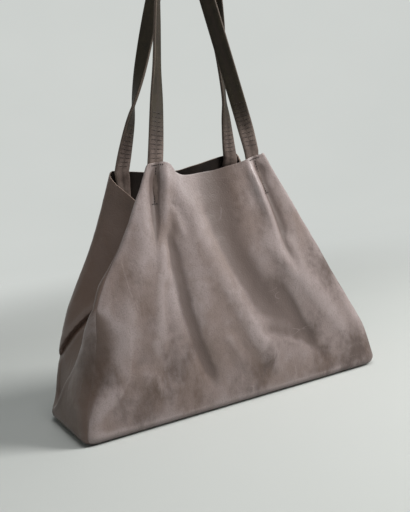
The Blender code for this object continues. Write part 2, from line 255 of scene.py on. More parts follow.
def suede(name, middle, deep):
    """The flesh side, short and matt."""
    finish = Finish(name)
    brushed = finish.cloud(24.0, 4.0, 0.6, finish.stretched((1.0, 1.0, 0.5)))
    nap = finish.cloud(1100.0, 3.0, 0.8)
    colour = finish.mix(brushed.between(0.35, 0.65), deep, middle)
    colour = finish.mix(nap.between(0.4, 0.7) * 0.3, colour, middle)
    normal = finish.bump(nap, 0.0003, 0.7)
    return finish.coat(colour, nap * 0.1 + 0.85, normal, Specular_IOR_Level=0.2)


def cut_edge(name, middle, deep):
    """The raw edge of the hide, fibres showing."""
    finish = Finish(name)
    fibres = finish.cloud(1500.0, 3.0, 0.75, finish.stretched((1.0, 1.0, 0.35)))
    patches = finish.cloud(60.0, 3.0)
    colour = finish.mix(fibres.between(0.35, 0.65), deep, middle)
    colour = finish.mix(patches.between(0.45, 0.65) * 0.4, colour, deep)
    normal = finish.bump(fibres, 0.0003, 0.6)
    return finish.coat(colour, fibres * 0.15 + 0.7, normal, Specular_IOR_Level=0.3)


def waxed_thread(name, middle, deep):
    finish = Finish(name)
    lay = finish.cloud(2600.0, 2.0, 0.6, finish.stretched((1.0, 0.4, 1.0)))
    colour = finish.mix(lay.between(0.4, 0.6), deep, middle)
    normal = finish.bump(lay, 0.00015, 0.6)
    return finish.coat(colour, lay * 0.2 + 0.5, normal, Specular_IOR_Level=0.4)


body_taupe = shade(168, 155, 154), shade(139, 125, 122), shade(89, 75, 70)
base_taupe = shade(120, 104, 97), shade(98, 84, 78), shade(72, 60, 55)
body_leather = waxed_leather("taupe_body_leather", *body_taupe)
# The inner suede's dark colour is partly painted shade, for the bag's inside
inner_suede = suede("dark_inner_suede", shade(46, 38, 34), shade(27, 22, 20))
raw_edge = cut_edge("raw_leather_edge", shade(176, 158, 146), shade(120, 102, 92))
base_leather = waxed_leather("dark_base_leather", *base_taupe, roughness=0.6)
brown_thread = waxed_thread("brown_waxed_thread", shade(54, 41, 38), shade(32, 24, 22))


# The bag's shape, as it was cut and sewn

leather = 0.002
base_width = 0.468
base_depth = 0.162
base_roll = 0.012
front_height = 0.342
back_height = 0.336
edge_sag = 0.0195
gusset_dip = 0.062
gusset_fold = 0.040
side_bulge = 0.005
tuck_depth = 0.0066
tuck_half_width = 0.011
tuck_spread = 0.010
tuck_length = 0.052
fold_depth = 0.0046
fold_half_width = 0.031
strap_width = 0.022
strap_thickness = 0.005
strap_end_length = 0.055
strap_end_gap = 0.0005
handle_drop = 0.300
root_bend = 0.030
front_grip_radius = 0.028
back_grip_radius = 0.044
front_lean = 0.014
back_lean = 0.040
front_root = 0.074
back_root = 0.088

# The mouth's half width and half depth at the front edge and at the back edge
front_mouth = (0.096, 0.057)
back_mouth = (0.111, 0.044)
front_belly = 0.0107
back_belly = 0.0134
left_swell = 0.026

# Each table runs up the panel, along its top edge or up the strap, from one end to the other
front_taper_share = (
    (0, 0), (0.15, 0.08), (0.29, 0.24), (0.43, 0.40), (0.58, 0.55), (0.75, 0.73), (1, 1),
)
back_taper_share = (
    (0, 0), (0.15, 0.08), (0.29, 0.19), (0.43, 0.33), (0.58, 0.52), (0.75, 0.74), (1, 1),
)
depth_share = ((0, 0), (0.5, 0.35), (1, 1))
fold_in_share = ((0, 0), (0.2, 0), (0.4, 0.15), (0.55, 0.5), (0.7, 0.9), (0.85, 1), (1, 0.7))
bulge_share = ((0, 0), (0.25, 0.6), (0.5, 1), (0.8, 0.6), (1, 0))
front_edge_share = (
    (-1, -0.05), (-0.9, -0.12), (-0.7, -0.14), (-0.62, -0.05), (-0.57, 0.12), (-0.535, 0.4),
    (-0.5, 0.72), (-0.38, 0.97), (-0.28, 1), (-0.1, 0.97), (0.11, 0.95), (0.33, 0.8), (0.53, 0.66),
    (0.67, 0.48), (0.84, 0.32), (1, 0.3),
)
back_edge_share = (
    (-1, -0.2), (-0.9, -0.16), (-0.65, 0.06), (-0.38, 0.3), (-0.02, 0.46), (0.2, 0.28), (0.36, 0.15),
    (0.59, -0.06), (0.75, -0.16), (0.94, -0.24), (1, -0.24),
)
left_swell_share = (
    (0, 0), (0.15, 0.2), (0.3, 0.55), (0.42, 0.88), (0.5, 1), (0.57, 0.85), (0.66, 0.6), (0.72, 0.43),
    (0.8, 0.25), (0.88, 0.14), (0.93, 0.02), (1, -0.08),
)
left_twist_share = ((0, 0), (0.25, 0.22), (0.42, 0.48), (0.6, 0.55), (0.85, 0.75), (1, 1))
right_twist_share = (
    (0, 0), (0.05, 0.08), (0.12, 0.26), (0.25, 0.36), (0.5, 0.42), (0.7, 0.5), (0.85, 0.7), (1, 1),
)
back_left_twist_share = (
    (0, 0), (0.06, 0.12), (0.12, 0.25), (0.18, 0.38), (0.24, 0.56), (0.31, 0.9), (0.48, 1.35),
    (0.66, 1.55), (0.85, 1.35), (1, 1),
)
back_right_twist_share = (
    (0, 0), (0.06, -0.12), (0.12, -0.25), (0.18, -0.38), (0.26, -0.6), (0.42, -0.4), (0.62, 0.3),
    (0.85, 0.9), (1, 1),
)

# Each hanging fold: places as up and across shares, then its depth and width as shares of the usual fold
front_fold_shares = (
    (
        ((0.025, -0.14), (0.19, -0.24), (0.385, -0.354), (0.64, -0.48), (0.80, -0.646), (0.97, -0.70)),
        -0.8, 0.45,
    ),
    (((0.06, -0.84), (0.36, -0.80), (0.675, -0.78), (0.945, -0.88)), 0.6, 0.5),
    (((0.10, -0.56), (0.30, -0.576), (0.515, -0.61), (0.805, -0.75)), 0.4, 0.48),
    (((0.025, 0.27), (0.32, 0.10), (0.58, -0.07), (0.83, -0.30), (0.955, -0.46)), 0.75, 0.6),
    (((0.195, 0.456), (0.425, 0.26), (0.675, 0.09), (0.85, 0.06), (1.0, 0.12)), -1.35, 1.0),
    (((0.27, 0.72), (0.425, 0.66), (0.63, 0.51), (0.775, 0.59), (0.93, 0.66)), 0.75, 0.48),
    (((0.60, 0.64), (0.72, 0.72), (0.82, 0.70)), -0.35, 0.3),
    (((0.04, 0.636), (0.16, 0.53), (0.35, 0.476), (0.465, 0.436)), -0.65, 0.48),
    (((0.05, 0.86), (0.155, 0.804), (0.31, 0.786), (0.465, 0.76)), 0.5, 0.5),
)
back_fold_shares = (
    (((0.05, -0.30), (0.35, -0.42), (0.65, -0.52), (0.90, -0.66)), -0.8, 0.57),
    (((0.10, -0.66), (0.40, -0.70), (0.80, -0.80)), 0.6, 0.5),
    (((0.10, 0.05), (0.40, -0.04), (0.75, -0.15), (0.95, -0.25)), 0.67, 0.7),
    (((0.20, 0.36), (0.45, 0.26), (0.70, 0.22), (1.0, 0.22)), -1.0, 0.93),
    (((0.15, 0.72), (0.40, 0.66), (0.65, 0.58), (0.90, 0.66)), 0.67, 0.5),
)

# The left gusset's ridge, as height and depth, and how far the leather behind it falls in
ridge_line = (
    (0, 0.078), (0.041, 0.032), (0.069, 0.0145), (0.09, 0.0005), (0.114, -0.0215), (0.144, -0.048),
    (0.176, -0.0727),
)
ridge_hollow = 0.010
ridge_lip = 0.0012
ridge_lip_half_width = 0.004

# How much of each panel rounds into its corner, by height. The front left one is added to the plain one.
plain_rounding = ((0, 0.05), (1, 0.05))
side_rounding = ((0, 0.12), (1, 0.12))
front_left_rounding = ((0, 0), (0.06, 0.01), (0.2, 0.08), (0.36, 0.06), (0.5, 0), (1, 0))
gusset_rounding = (
    (0, 0.12), (0.06, 0.17), (0.2, 0.38), (0.29, 0.38), (0.36, 0.28), (0.43, 0.15), (0.5, 0.06),
    (0.56, 0.06), (0.7, 0.12), (1, 0.12),
)

# Painted shade where the leather is turned from the light, by height: a share of the front's width, and the
# gusset's facet
turned_away = (
    (0, 0.001), (0.08, 0.014), (0.2, 0.05), (0.33, 0.08), (0.43, 0.05), (0.5, 0.001), (1, 0.001),
)
facet_shade = ((0, 1), (0.15, 0.95), (0.3, 0.6), (0.45, 0.3), (0.5, 1), (1, 1))

front_side, right_side, back_side, left_side = range(4)
step = 0.001


def table(x, rows):
    """A smooth curve through the rows, which never swings past them."""
    places = np.array([row[0] for row in rows], float)
    values = np.array([row[1] for row in rows], float)
    x = np.clip(x, places[0], places[-1])
    steps = np.diff(values) / np.diff(places)
    before, after = steps[:-1], steps[1:]
    same_way = before * after > 0
    total = np.where(same_way, before + after, 1)
    slopes = np.concatenate([steps[:1], np.where(same_way, 2 * before * after / total, 0), steps[-1:]])
    n = np.clip(np.searchsorted(places, x, side="right") - 1, 0, len(rows) - 2)
    span = places[n + 1] - places[n]
    k = (x - places[n]) / span
    rise = 3 * k**2 - 2 * k**3
    lead = (k - 2 * k**2 + k**3) * span * slopes[n]
    trail = (k**3 - k**2) * span * slopes[n + 1]
    return values[n] + rise * (values[n + 1] - values[n]) + lead + trail


def ramp(x, low, high):
    k = np.clip((x - low) / (high - low), 0, 1)
    return k * k * (3 - 2 * k)


def hump(distance, half_width):
    return np.exp(-((distance / half_width) ** 2))


def unit(vectors):
    return vectors / np.linalg.norm(vectors, axis=-1, keepdims=True)


def corner_edge(back, side, up):
    """The edge where a flat panel meets the gusset on this side, -1 left and 1 right."""
    half_width, half_depth = back_mouth if back else front_mouth
    height, taper = (back_height, back_taper_share) if back else (front_height, front_taper_share)
    x = base_width / 2 + (half_width - base_width / 2) * table(up, taper)
    if side < 0 and not back:
        x = x + left_swell * table(up, left_swell_share)
    y = base_depth / 2 + (half_depth - base_depth / 2) * table(up, depth_share)
    return np.stack([side * x, y if back else -y, base_roll + up * (height - base_roll)], -1)


def hanging_folds(back, across, up, width, height, root):
    """How far the big folds and the tucks stand out of a flat panel."""
    x = across * width
    out = np.zeros_like(x)
    for rows, depth, spread in back_fold_shares if back else front_fold_shares:
        low, high = rows[0][0], rows[-1][0]
        fade = ramp(up, low - 0.14, low + 0.22)
        if high < 1:
            fade = fade * (1 - ramp(up, high - 0.08, high + 0.1))
        away = x - table(up, rows) * width
        out = out + fold_depth * depth * fade * hump(away, fold_half_width * spread)
    drop = height * (1 - up)
    fade = np.exp(-((drop / (2 * tuck_length)) ** 2)) * (0.3 + 0.7 * ramp(drop, 0, 2.5 * tuck_half_width))
    line = root + tuck_spread * drop / tuck_length
    for side in (-1, 1):
        away = side * x - line
        outer = hump(away, tuck_half_width * 1.2)
        inner = hump(away, tuck_half_width * 0.5)
        crest = hump(away + tuck_half_width * 1.15, tuck_half_width * 0.6)
        out = out + tuck_depth * fade * (0.65 * crest - np.where(away > 0, outer, inner))
    return out * np.clip(up / 0.15, 0, 1)


def flat_panel(back, across, up):
    plain = corner_edge(back, 1, up)
    left = corner_edge(back, -1, up)
    height, root = (back_height, back_root) if back else (front_height, front_root)
    belly = back_belly if back else front_belly
    round_out = belly * np.sin(np.pi * np.clip(up, 0, 1) ** 0.8) * (1 - across**2)
    folds = hanging_folds(back, across, up, plain[..., 0], height, root)
    top = height - edge_sag * table(across, back_edge_share if back else front_edge_share)
    far_left = np.clip(-across, 0, 1) ** 3
    x = across * (plain[..., 0] + far_left * (-left[..., 0] - plain[..., 0]))
    y = plain[..., 1] + (1 if back else -1) * (round_out + folds * (1 - across**8))
    return np.stack([x, y, base_roll + up * (top - base_roll)], -1)


def past_ridge(y, z):
    """How far behind the left gusset's ridge a place lies. The ridge falls from the front to the back."""
    return 0.75 * (y - table(z, ridge_line))


def gusset_panel(side, along, up):
    """The gusset of this side, from -1 at the front to 1 at the back."""
    front = corner_edge(False, side, up)
    back = corner_edge(True, side, up)
    point = front + (back - front) * ((along + 1) / 2)[..., None]
    soft = (1 - along**2) ** 1.4
    blunt = 0.02
    slope = np.sqrt(along**2 + blunt) - math.sqrt(blunt)
    sharp = 1 - slope / (math.sqrt(1 + blunt) - math.sqrt(blunt))
    crease = ramp(up, 0.45, 0.7) * 0.75
    valley = soft * (1 - crease) + sharp * crease
    shoulder = np.clip(along**2 * (1 - along**4) * 2.2, 0, 1)
    folded = gusset_fold * table(up, fold_in_share) * valley
    if side < 0:
        past = past_ridge(point[..., 1], point[..., 2])
        lower = (1 - ramp(up, 0.45, 0.6)) * ramp(up, 0.0, 0.1)
        hollow = ridge_hollow * ramp(past, 0.0, 0.009) * (1 - ramp(past, 0.02, 0.09))
        lip = ridge_lip * hump(past, ridge_lip_half_width)
        folded = folded * ramp(past, 0.0, 0.015) + lower * (hollow - lip)
    point[..., 0] -= side * folded
    point[..., 0] += side * side_bulge * table(up, bulge_share) * shoulder
    point[..., 2] -= up * gusset_dip * (1 - np.abs(along) ** 1.15)
    return point


def panel_point(side, share, up):
    if side == front_side:
        return flat_panel(False, 2 * share - 1, up)
    if side == back_side:
        return flat_panel(True, 1 - 2 * share, up)
    if side == right_side:
        return gusset_panel(1, 2 * share - 1, up)
    return gusset_panel(-1, 1 - 2 * share, up)


def soft_share(side, up, at_end):
    """How much of the panel rounds into its corner. The front left one is the softest."""
    if side == front_side and not at_end:
        return table(up, plain_rounding) + table(up, front_left_rounding)
    if side in (front_side, back_side):
        return table(up, plain_rounding)
    return table(up, gusset_rounding if side == left_side and at_end else side_rounding)


def wall_point(around, up):
    """The skin above the roll. Around runs 0 to 4: front, right, back, left."""
    around = np.asarray(around, float) % 4
    around, up = np.broadcast_arrays(around, np.asarray(up, float))
    point = np.zeros(around.shape + (3,))
    for side in range(4):
        on_side = np.floor(around).astype(int) == side
        if not on_side.any():
            continue
        share = around[on_side] - side
        level = up[on_side]
        piece = panel_point(side, share, level)
        for at_end in (False, True):
            away = 1 - share if at_end else share
            soft = soft_share(side, level, at_end)
            near = away < soft
            if not near.any():
                continue
            other = (side + 1) % 4 if at_end else (side - 1) % 4
            here = level[near]
            mine = panel_point(side, 1 - soft[near] if at_end else soft[near], here)
            far = soft_share(other, here, not at_end)
            theirs = panel_point(other, far if at_end else 1 - far, here)
            number = (side + 1) % 4 if at_end else side
            corner = corner_edge(number in (2, 3), -1 if number in (0, 3) else 1, here)
            k = (0.5 + 0.5 * away[near] / soft[near])[..., None]
            piece[near] = (1 - k) ** 2 * theirs + 2 * k * (1 - k) * corner + k**2 * mine
        point[on_side] = piece
    return point


def outward_in_plan(around):
    along = wall_point(around + step, 0) - wall_point(around - step, 0)
    return unit(np.stack([along[..., 1], -along[..., 0], np.zeros_like(along[..., 0])], -1))


def plain_skin(around, up):
    """A place on the bag's plain outer skin and which way it faces. Up is below 0 on the roll."""
    around, up = np.broadcast_arrays(np.asarray(around, float), np.asarray(up, float))
    level = np.clip(up, 0, 1)
    along = wall_point(around + step, level) - wall_point(around - step, level)
    rise = wall_point(around, np.minimum(level + step, 1)) - wall_point(around, np.maximum(level - step, 0))
    normal = unit(np.cross(along, rise))
    plan = outward_in_plan(around)
    turn = np.clip(-up, 0, 1)[..., None] * math.pi / 2
    point = wall_point(around, level) - plan * base_roll * (1 - np.cos(turn))
    point[..., 2] -= (base_roll * np.sin(turn))[..., 0]
    rolled = np.cos(turn) * plan + np.sin(turn) * np.array([0.0, 0.0, -1.0])
    mix = np.clip(-up / 0.25, 0, 1)[..., None]
    return point, unit(normal * (1 - mix) + rolled * mix)


# Soft folds, the left gusset's lap and slack in the leather


def along_and_away(a, b, start, end):
    """Where a place of a panel's own plane lies along a line, as a share, how far beside it, and its run."""
    run = np.subtract(end, start)
    length = np.hypot(*run)
    along = ((a - start[0]) * run[0] + (b - start[1]) * run[1]) / length**2
    away = ((a - start[0]) * run[1] - (b - start[1]) * run[0]) / length
    return along, away, run / length


def fold(a, b, start, end, half_width, rise):
    """A soft fold between two places of a panel's own plane."""
    along, away, _ = along_and_away(a, b, start, end)
    fade = ramp(along, -0.05, 0.25) * (1 - ramp(along, 0.6, 1.1))
    return rise * fade * hump(away, half_width)


# Each soft fold of a flat panel: two places by width and height, then its half width and its rise
front_soft_folds = (
    ((-0.150, 0.090), (-0.105, 0.030), 0.012, 0.0014),
    ((0.030, 0.100), (0.130, 0.062), 0.011, -0.0013),
    ((-0.066, 0.290), (-0.052, 0.235), 0.006, 0.0016),
    ((-0.090, 0.200), (-0.100, 0.120), 0.007, -0.0012),
    ((0.100, 0.225), (0.128, 0.150), 0.008, 0.0016),
    ((-0.020, 0.110), (0.010, 0.050), 0.009, 0.0013),
)
back_soft_folds = (
    ((-0.130, 0.190), (-0.185, 0.040), 0.012, 0.0022),
    ((0.120, 0.170), (0.170, 0.050), 0.012, -0.0020),
    ((0.000, 0.130), (0.060, 0.050), 0.012, 0.0014),
)


def flat_relief(back, x, z):
    """The small folds of a flat panel, over the big ones."""
    out = np.zeros_like(x)
    for start, end, half_width, rise in back_soft_folds if back else front_soft_folds:
        out = out + fold(x, z, start, end, half_width, rise)
    return out


# The left gusset's lap, from one place by depth and height to the other, over the crack below it
lap_start = (-0.0060, 0.1775)
lap_end = (0.0760, 0.0850)
lap_half_width = 0.010
lap_rise = 0.0024
lap_drop = 0.0046
lap_overlap = 0.0030
lap_reach = 0.005


def gusset_lap(y, z):
    """How far the lap stands out and the crack falls in, and how far the lap is pushed over it."""
    along, away, run = along_and_away(y, z, lap_start, lap_end)
    fade = ramp(along, -0.04, 0.10) * (1 - ramp(along, 0.82, 1.02))
    past = ramp(away, -0.0005, 0.0010)
    stands = lap_rise * hump(away, lap_half_width) * (1 - past)
    falls = lap_drop * hump(away, lap_half_width * 0.8) * past
    near = hump(np.minimum(away - 0.0003, 0), lap_reach) * (1 - ramp(away, -0.0003, 0.0010))
    push = lap_overlap * fade * near
    return fade * (stands - falls), push * run[1], -push * run[0]


def slack(point, size, seed):
    """Gentle unevenness of worn leather, from -1 to 1."""
    rows = point.reshape(-1, 3) / size + seed
    return np.array([noise.noise(Vector(row)) for row in rows]).reshape(point.shape[:-1])


# The slack everywhere: how far, over which size, and its seed. Then the fine slack, which comes in patches
slack_layers = ((0.0009, 0.060, 3.7), (0.0003, 0.021, 8.1))
fine_slack = (0.0003, 0.009, 5.2)
patch_size = 0.05
patch_seed = 1.4

# The corner seams lie in a small groove, which is softer at the front left
seam_half_width = 0.0010
seam_groove = 0.0006
front_left_seam_groove = 0.0002
gusset_span = 0.14


def relief(around, up, point):
    """How far the dressed leather stands off the plain skin, and how far it is pushed along it."""
    around = np.asarray(around, float) % 4
    side = np.floor(around)
    share = around % 1
    x, y, z = point[..., 0], point[..., 1], point[..., 2]
    on_gusset = side % 2 == 1
    on_left = np.where(side == left_side, 1.0, 0.0)
    lap, push_y, push_z = gusset_lap(y, z)
    flat = [flat_relief(False, x, z), flat_relief(True, x, z)]
    out = np.select([side == front_side, side == back_side], flat, lap * on_left)
    into = ramp(np.minimum(share, 1 - share), 0.0, 0.05)
    out = out * np.where(on_gusset, 1, into)
    for depth, size, seed in slack_layers:
        out = out + depth * slack(point, size, seed)
    depth, size, seed = fine_slack
    out = out + depth * slack(point, size, seed) * ramp(slack(point, patch_size, patch_seed), 0.0, 0.4)
    calm = ramp(np.asarray(up), -0.2, 0.12)
    seam = np.abs(around - np.round(around)) * np.where(on_gusset, gusset_span, 2 * np.abs(x) + 0.02)
    groove = np.where((around < 0.5) | (around > 3.5), front_left_seam_groove, seam_groove)
    push = np.stack([np.zeros_like(push_y), push_y, push_z], -1) * (on_left * calm)[..., None]
    return out * calm - groove * hump(seam, seam_half_width), push


def skin(around, up, depth=0.0):
    """A place of the dressed bag, its depth measured inwards from the outer skin."""
    point, normal = plain_skin(around, up)
    out, push = relief(around, up, point)
    return point + normal * (out - depth)[..., None] + push


# Pieces of leather


def finished(name, edit, materials, body, nodes):
    """The mesh as a piece that rides on its body and stands for its nodes."""
    mesh = bpy.data.meshes.new(name)
    edit.to_mesh(mesh)
    edit.free()
    for face in mesh.polygons:
        face.use_smooth = True
    for material in materials:
        mesh.materials.append(material)
    piece = bpy.data.objects.new(name, mesh)
    bpy.context.collection.objects.link(piece)
    if body:
        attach(piece, body)
    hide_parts(*nodes)
    return piece


def soften(values, times):
    for _ in range(times):
        padded = np.pad(values, ((1, 1), (1, 1)) + ((0, 0),) * (values.ndim - 2), "edge")
        values = (padded[:-2, 1:-1] + padded[2:, 1:-1] + padded[1:-1, :-2] + padded[1:-1, 2:]) / 4
    return values


def give_wall(piece):
    """The leather's thickness, inwards: its second material inside and its third along the rims."""
    wall = piece.modifiers.new("wall", "SOLIDIFY")
    wall.thickness = leather
    wall.offset = -1
    wall.material_offset = 1
    wall.material_offset_rim = 2
    turned_edge = piece.modifiers.new("turned_edge", "BEVEL")
    turned_edge.width = leather / 5
    turned_edge.segments = 2
    turned_edge.limit_method = "ANGLE"
    turned_edge.angle_limit = math.radians(70)


def place_verts(edit, spots, **values):
    """Every vertex goes to its spot and gets its number for each named value."""
    layers = [(edit.verts.layers.float.new(name), numbers) for name, numbers in values.items()]
    for n, vert in enumerate(edit.verts):
        vert.co = spots[n]
        for layer, numbers in layers:
            vert[layer] = numbers[n]


# The share of a panel's rows that its bottom roll takes
roll_share = 0.06

# How far a small, a broad and a hanging form stands out where it counts as one whole step paler
proud_scale = 0.0014
broad_scale = 0.009
fold_scale = 0.012


def standing_out(spots, shares):
    """How far the leather stands out of its own surroundings: 0.5 where it is flat, more on a crest."""
    order = np.lexsort((shares[:, 0], shares[:, 1]))
    wide = len(np.unique(np.round(shares[:, 0], 5)))
    sheet = spots[order].reshape(-1, wide, 3)
    facing = unit(np.cross(np.gradient(sheet, axis=1), np.gradient(sheet, axis=0)))
    proud = ((sheet - soften(sheet, 12)) * facing).sum(-1)
    broad = ((sheet - soften(sheet, 60)) * facing).sum(-1)
    raised = np.empty(len(spots))
    raised[order] = (0.5 + proud / proud_scale + broad / broad_scale).ravel()
    return raised


def folds_and_tucks(back, share, level):
    """What a flat panel's hanging folds and sewn tucks add to that: painted highlight on ridges, painted
    shade in valleys and along each tuck.
    """
    across = 1 - 2 * share if back else 2 * share - 1
    height, root = (back_height, back_root) if back else (front_height, front_root)
    width = corner_edge(back, 1, level)[:, 0]
    folds = hanging_folds(back, across, level, width, height, root) / fold_scale
    drop = height * (1 - level)
    from_tuck = np.abs(across * width) - root - tuck_spread * drop / tuck_length
    sewn = 1 - ramp(drop, tuck_length, tuck_length + 0.006)
    return folds - 0.7 * hump(from_tuck, 0.003) * sewn


def turned_from_light(side, share, up, spots):
    """Painted shade where the leather is turned from the light: beside the front left corner and beyond the
    front right one.
    """
    if side == front_side:
        reach = table(up, turned_away)
        return 0.85 * (1 - ramp(share, reach * 0.4, reach * 1.2))
    if side == right_side:
        return ramp(share, 0.0, 0.02 + 0.4 * (1 - ramp(up, 0.3, 0.5)))
    if side == left_side:
        behind = ramp(past_ridge(spots[:, 1], spots[:, 2]), -0.004, 0.004)
        return table(up, facet_shade) * (1 - behind) + behind
    return np.zeros(len(spots))


def leather_panel(node, side, columns, rows):
    edit = bmesh.new()
    bmesh.ops.create_grid(edit, x_segments=columns, y_segments=rows, size=0.5)
    shares = np.array([vert.co[:2] for vert in edit.verts]) + 0.5
    on_roll = shares[:, 1] / roll_share - 1
    up = np.where(shares[:, 1] < roll_share, on_roll, (shares[:, 1] - roll_share) / (1 - roll_share))
    spots = skin(side + np.clip(shares[:, 0], 1e-6, 1 - 1e-6), up)
    raised = standing_out(spots, shares)
    if side in (front_side, back_side):
        # The hanging folds and tucks add painted highlight on ridges and painted shade in valleys and
        # creases
        raised = raised + folds_and_tucks(side == back_side, shares[:, 0], np.clip(up, 0, 1))
    raised = np.clip(raised, 0, 1)
    # Painted shade: full on the roll's underside, none above the roll
    foot = 1 - ramp(up, -0.7, 0.03)
    # Painted shade where the leather is turned from the light
    sheltered = turned_from_light(side, shares[:, 0], up, spots)
    place_verts(edit, spots, raised=raised, foot=foot, sheltered=sheltered)
    piece = finished(node + "_leather", edit, [body_leather, inner_suede, raw_edge], "bag_body", [node])
    give_wall(piece)


leather_panel("front_panel", front_side, columns=220, rows=165)
leather_panel("back_panel", back_side, columns=160, rows=130)
leather_panel("left_gusset", left_side, columns=110, rows=180)
leather_panel("right_gusset", right_side, columns=90, rows=150)

base_segments = 160
base_edge_gap = 0.0003
base_insets = (0.012, 0.02)
base_raised = 0.45


def base_piece():
    edit = bmesh.new()
    bmesh.ops.create_circle(edit, cap_ends=True, segments=base_segments, radius=1)
    turn = np.array([math.atan2(vert.co.y, vert.co.x) for vert in edit.verts]) / (2 * math.pi) * 4
    around = (turn + 1.5) % 4
    rim = plain_skin(around, -1.0)[0] - outward_in_plan(around) * base_edge_gap
    for vert, spot in zip(edit.verts, rim):
        vert.co = (spot[0], spot[1], 0.0)
    for inset in base_insets:
        largest = max(edit.faces, key=lambda face: face.calc_area())
        bmesh.ops.inset_region(edit, faces=[largest], thickness=inset, depth=0.0)
    bmesh.ops.recalc_face_normals(edit, faces=edit.faces)
    if edit.faces[:][0].normal.z > 0:
        bmesh.ops.reverse_faces(edit, faces=edit.faces)
    layer = edit.verts.layers.float.new("raised")
    for vert in edit.verts:
        vert[layer] = base_raised
    materials = [base_leather, inner_suede, raw_edge]
    piece = finished("base_panel_leather", edit, materials, "bag_body", ["base_panel"])
    give_wall(piece)


base_piece()


# Straps and handles

forwards = np.array([0.0, -1.0, 0.0])
upwards = np.array([0.0, 0.0, 1.0])
root_rise = 0.0003
grip_gap = 0.0003


def around_at(back, x, up):
    across = x / corner_edge(back, 1, np.asarray(up, float))[..., 0]
    return 2 + (1 - across) / 2 if back else (across + 1) / 2


def level_below(back, drop):
    return 1 - drop / ((back_height if back else front_height) - base_roll)


def root_place(back):
    """The hinge line of this handle, where its strap bends over the panel's edge."""
    return hinges["back_handle_swing" if back else "front_handle_swing"][1:]


def loop_path(back, leg_count, bend_count):
    """The middle line of one handle from root to root, and its height over the hinge line."""
    hinge_y, hinge_z = root_place(back)
    root, lean = (back_root, back_lean) if back else (front_root, front_lean)
    radius = back_grip_radius if back else front_grip_radius
    out = 1 if back else -1
    start_y = hinge_y - out * (leather + strap_end_gap + strap_thickness / 2)
    grip_y = out * (strap_width / 2 + grip_gap)
    centre = np.array([lean, handle_drop - radius - strap_thickness / 2])
    legs = []
    for side in (-1, 1):
        foot = np.array([side * root, root_rise])
        reach = centre - foot
        distance = np.hypot(*reach)
        angle = math.atan2(reach[1], reach[0]) - side * math.asin(radius / distance)
        leg = math.sqrt(distance**2 - radius**2)
        legs.append((foot, foot + leg * np.array([math.cos(angle), math.sin(angle)])))
    rise = np.linspace(0, 1, leg_count)[:, None]
    left_leg = legs[0][0] + (legs[0][1] - legs[0][0]) * rise
    right_leg = legs[1][1] + (legs[1][0] - legs[1][1]) * rise
    first = math.atan2(*(legs[0][1] - centre)[::-1])
    last = math.atan2(*(legs[1][1] - centre)[::-1])
    angles = np.linspace(first, last, bend_count + 2)[1:-1, None]
    bend = centre + radius * np.concatenate([np.cos(angles), np.sin(angles)], 1)
    flat = np.concatenate([left_leg, bend, right_leg])
    share = flat[:, 1] / handle_drop
    soft = root_bend / handle_drop
    tilt = (np.sqrt(share**2 + soft**2) - soft) / (math.sqrt(1 + soft**2) - soft)
    y = start_y + (grip_y - start_y) * tilt
    return np.stack([flat[:, 0], y, hinge_z + flat[:, 1]], -1)


def arc_length(path):
    return np.concatenate([[0], np.cumsum(np.linalg.norm(np.diff(path, axis=0), axis=1))])


def loop_frames(back, leg_count=90, bend_count=36):
    """Each ring's middle, its width direction and the direction of its stitched face."""
    path = loop_path(back, leg_count, bend_count)
    tangent = unit(np.gradient(path, axis=0))
    height = path[:, 2] - root_place(back)[1]
    blend = np.clip((height - root_rise) / root_bend, 0, 1)[:, None]
    climb = np.where(np.arange(len(path)) < len(path) / 2, 1.0, -1.0)[:, None]
    tangent = unit(climb * upwards * (1 - blend) + tangent * blend)
    length = arc_length(path)
    middle = length[-1] / 2
    left_twist = back_left_twist_share if back else left_twist_share
    right_twist = back_right_twist_share if back else right_twist_share
    left = table(np.clip(length / middle, 0, 1), left_twist)
    right = table(np.clip((length[-1] - length) / middle, 0, 1), right_twist)
    turn = np.where(length < middle, left, right) * math.pi / 2
    turn = soften(turn[:, None], 4)[:, 0]
    facing = unit(forwards - (tangent @ forwards)[:, None] * tangent)
    face = np.cos(turn)[:, None] * facing - np.sin(turn)[:, None] * np.cross(facing, tangent)
    return path, np.cross(tangent, face), face


# The strap's mesh, then the puckers of its seam and the groove where its edges meet
strap_spokes = 44
end_rings = 22
first_end_drop = 0.003
stitch_pitch = 0.003
pucker_rise = 0.0004
meeting_depth = 0.0009


def strap_section():
    """Round the folded strap: shares across and shares through, a box with soft corners."""
    turn = np.linspace(0, 2 * math.pi, strap_spokes, endpoint=False)
    across = np.sign(np.cos(turn)) * np.abs(np.cos(turn)) ** 0.35
    through = np.sign(np.sin(turn)) * np.abs(np.sin(turn)) ** 0.45
    return across, through


def sewn_end(back, side, root_spot):
    """The rings of a strap's sewn-in end, from its lower tip up to the root, lying inside the panel."""
    root = side * (back_root if back else front_root)
    drops = np.linspace(strap_end_length, first_end_drop, end_rings)
    level = level_below(back, drops)
    depth = leather + strap_end_gap + strap_thickness / 2
    places = [np.full_like(drops, root + k * strap_width / 2) for k in (-1, 0, 1)]
    spots = [skin(around_at(back, place, level), level, depth) for place in places]
    middle = (spots[0] + 2 * spots[1] + spots[2]) / 4
    seated = np.minimum(drops[:, None] / strap_end_length * 4, 1)
    middle = middle * seated + (root_spot - upwards * drops[:, None]) * (1 - seated)
    width = unit(spots[2] - spots[0])
    tangent = unit(np.gradient(middle, axis=0))
    face = unit(np.cross(width, tangent))
    if face[0] @ forwards < 0:
        face = -face
    if side < 0:
        return middle, np.cross(tangent, face), face
    return middle[::-1], np.cross(-tangent, face)[::-1], face[::-1]


def bend_at_root(piece):
    """The piece's place is baked into its mesh."""
    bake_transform(piece)


